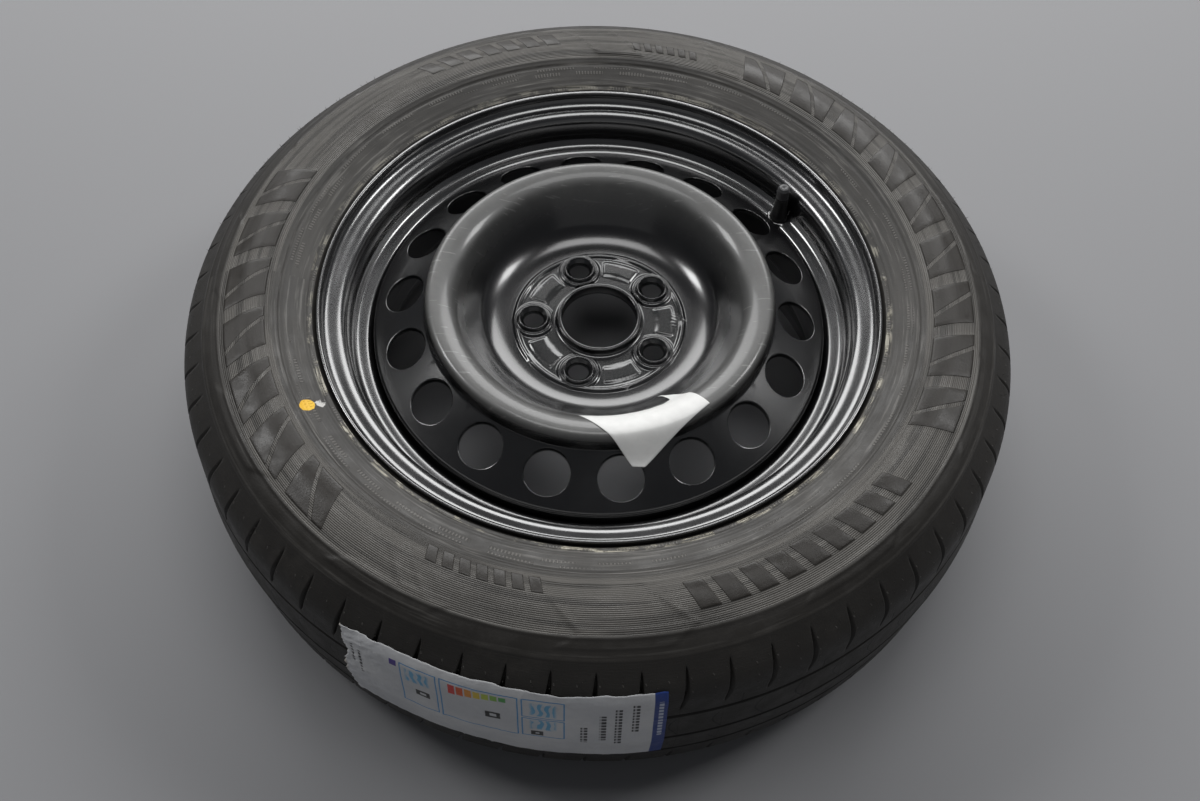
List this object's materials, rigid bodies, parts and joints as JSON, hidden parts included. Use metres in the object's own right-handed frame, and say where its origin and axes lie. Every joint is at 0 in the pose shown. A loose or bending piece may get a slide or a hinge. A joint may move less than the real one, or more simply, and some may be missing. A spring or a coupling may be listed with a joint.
{
  "type": "steel wheel with tyre",
  "caption": "Black pressed steel road wheel with a ring of round vents, bolt holes, a snap-in valve and a fitted road tyre with a torn tread label, lying flat.",
  "frame": {"origin": "centre of the hub mounting face, on the wheel axis", "axes": "+Z along the wheel axis, out of the outer side of the wheel, which faces up as in the picture; +X to the right in the picture, +Y away from its camera"},
  "size_m": [0.6211, 0.6219, 0.19],
  "materials": {
    "black_paint": "gloss",
    "tyre_rubber": "matte",
    "black_rubber": "satin",
    "brass": "satin",
    "spring_steel": "satin",
    "cap_plastic": "satin",
    "label_paper": "satin"
  },
  "bodies": {
    "wheel": {"rim": "black_paint", "wheel_disc": "black_paint", "disc_welds": "black_paint", "tyre": "tyre_rubber", "valve_rubber": "black_rubber", "valve_stem": "brass", "core_plug": "brass", "core_barrel": "brass", "core_gasket": "black_rubber", "core_spring": "spring_steel", "tread_label": "label_paper", "disc_sticker": "label_paper"},
    "pin": {"core_pin": "spring_steel", "core_cup": "brass", "core_cup_seal": "black_rubber"},
    "cap_lift": {"valve_cap_seal": "black_rubber"},
    "cap": {"valve_cap": "cap_plastic"}
  },
  "joints": [
    {"name": "pin_press", "type": "slide", "parent": "wheel", "child": "pin", "axis": [0, 0, -1], "range_m": [0, 0.0012], "stiffness_N_per_m": 800, "springref_m": -0.001, "deforming": ["core_spring"]},
    {"name": "cap_rise", "type": "slide", "parent": "wheel", "child": "cap_lift", "axis": [0, 0, 1], "range_m": [0, 0.0095]},
    {"name": "cap_turn", "type": "hinge", "parent": "cap_lift", "child": "cap", "pos_m": [0.14236, 0.10884, 0.03], "axis": [0, 0, 1], "range_deg": [0, 4320]}
  ],
  "couplings": [
    {"joint": "cap_turn", "follows": "cap_rise", "rad_per_m": 7913.3}
  ]
}
